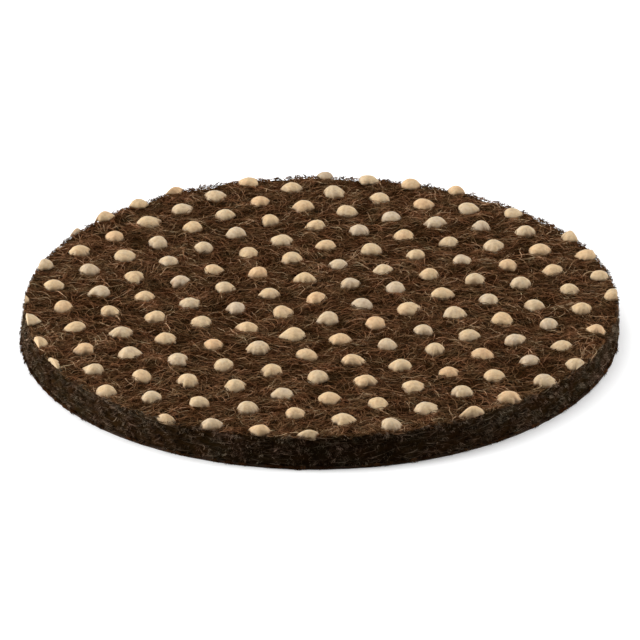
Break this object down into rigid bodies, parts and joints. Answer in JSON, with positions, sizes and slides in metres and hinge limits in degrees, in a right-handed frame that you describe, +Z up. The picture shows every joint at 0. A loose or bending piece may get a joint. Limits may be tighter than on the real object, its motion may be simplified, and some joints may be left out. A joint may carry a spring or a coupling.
{
  "type": "anti-slip furniture pad",
  "caption": "Round die-cut needle-felt furniture pad with latex grip nubs on one face and a self-adhesive underside on a release liner.",
  "frame": {"origin": "centre of the release liner's underside, the face that the pad lies on", "axes": "+Z up through the felt to the nub side, +Y away from the viewer of the picture, +X to the viewer's right"},
  "size_m": [0.06, 0.06, 0.0041],
  "materials": {
    "felt": "coarse needle-punched felt, tangled dark-brown fibres, fully matte",
    "latex": "cream to peach latex, satin-matte, slightly translucent",
    "adhesive": "clear acrylic adhesive, slightly yellow, tacky sheen",
    "liner_paper": "siliconed kraft-backed paper, smooth with a faint sheen"
  },
  "bodies": {
    "liner": {"release_liner": "liner_paper"},
    "pad": {"felt_disc": "felt", "nub_01": "latex", "nub_02": "latex", "nub_03": "latex", "nub_04": "latex", "nub_05": "latex", "nub_06": "latex", "nub_07": "latex", "nub_08": "latex", "nub_09": "latex", "nub_10": "latex", "nub_11": "latex", "nub_12": "latex", "nub_13": "latex", "nub_14": "latex", "nub_15": "latex", "nub_16": "latex", "nub_17": "latex", "nub_18": "latex", "nub_19": "latex", "nub_20": "latex", "nub_21": "latex", "nub_22": "latex", "nub_23": "latex", "nub_24": "latex", "nub_25": "latex", "nub_26": "latex", "nub_27": "latex", "nub_28": "latex", "nub_29": "latex", "nub_30": "latex", "nub_31": "latex", "nub_32": "latex", "nub_33": "latex", "nub_34": "latex", "nub_35": "latex", "nub_36": "latex", "nub_37": "latex", "nub_38": "latex", "nub_39": "latex", "nub_40": "latex", "nub_41": "latex", "nub_42": "latex", "nub_43": "latex", "nub_44": "latex", "nub_45": "latex", "nub_46": "latex", "nub_47": "latex", "nub_48": "latex", "nub_49": "latex", "nub_50": "latex", "nub_51": "latex", "nub_52": "latex", "nub_53": "latex", "nub_54": "latex", "nub_55": "latex", "adhesive_film": "adhesive"}
  },
  "joints": [
    {"name": "pad_peel", "type": "slide", "parent": "liner", "child": "pad", "axis": [0, 0, 1], "range_m": [0, 0.03]}
  ]
}
